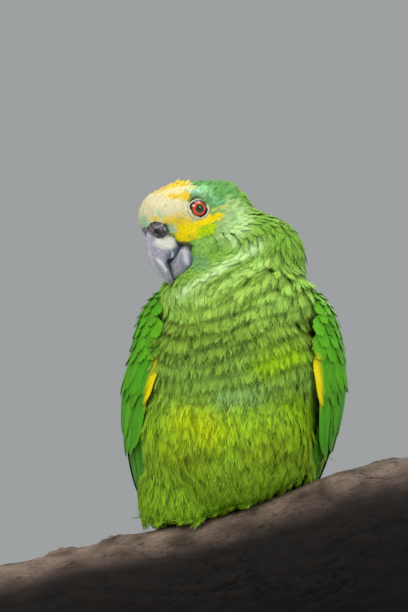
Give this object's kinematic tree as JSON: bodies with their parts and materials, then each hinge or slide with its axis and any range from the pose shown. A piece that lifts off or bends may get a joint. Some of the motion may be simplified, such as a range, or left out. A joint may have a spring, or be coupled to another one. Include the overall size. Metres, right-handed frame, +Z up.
{
  "type": "amazon parrot on a perch",
  "caption": "Life-size model of a green amazon parrot gripping a cut length of branch, its head turned aside, on a plain display stand.",
  "frame": {"origin": "centre of the underside of the stand's base plate", "axes": "+Z up; the bird's breast faces -Y and its left side +X; its head is turned 56 degrees towards -X; the branch rises towards +X"},
  "size_m": [0.2876, 0.16, 0.3192],
  "materials": {
    "plumage": "layered soft feathers, yellow-green with dark scalloped edges, yellow and pale turquoise face",
    "wing_plumage": "smooth overlapping feathers, emerald green with paler edges, yellow bend, dark blue flight feathers",
    "horn": "grey horn with a cream patch, satin",
    "bare_skin": "blackish bare skin round the nostrils",
    "eye": "wet, orange-red iris round an olive ring and a black pupil",
    "scaly_skin": "grey scaly skin",
    "claw": "dark horn",
    "bark": "weathered grey-brown bark, pale along the crest, with cut ends",
    "stand_paint": "matt charcoal paint on a steel plate",
    "stand_steel": "satin steel rod"
  },
  "bodies": {
    "root": {"head": "plumage", "neck": "plumage", "trunk": "plumage", "thigh_left": "plumage", "thigh_right": "plumage", "wing_left": "wing_plumage", "wing_right": "wing_plumage", "tail": "wing_plumage", "bill_upper": "horn", "bill_lower": "horn", "cere": "bare_skin", "eye_left": "eye", "eye_right": "eye", "foot_left": "scaly_skin", "foot_right": "scaly_skin", "claw_left_inner_front": "claw", "claw_left_outer_front": "claw", "claw_left_outer_back": "claw", "claw_left_inner_back": "claw", "claw_right_inner_front": "claw", "claw_right_outer_front": "claw", "claw_right_outer_back": "claw", "claw_right_inner_back": "claw", "perch": "bark", "stand_base": "stand_paint", "stand_rod_low": "stand_steel", "stand_rod_high": "stand_steel"}
  },
  "joints": []
}
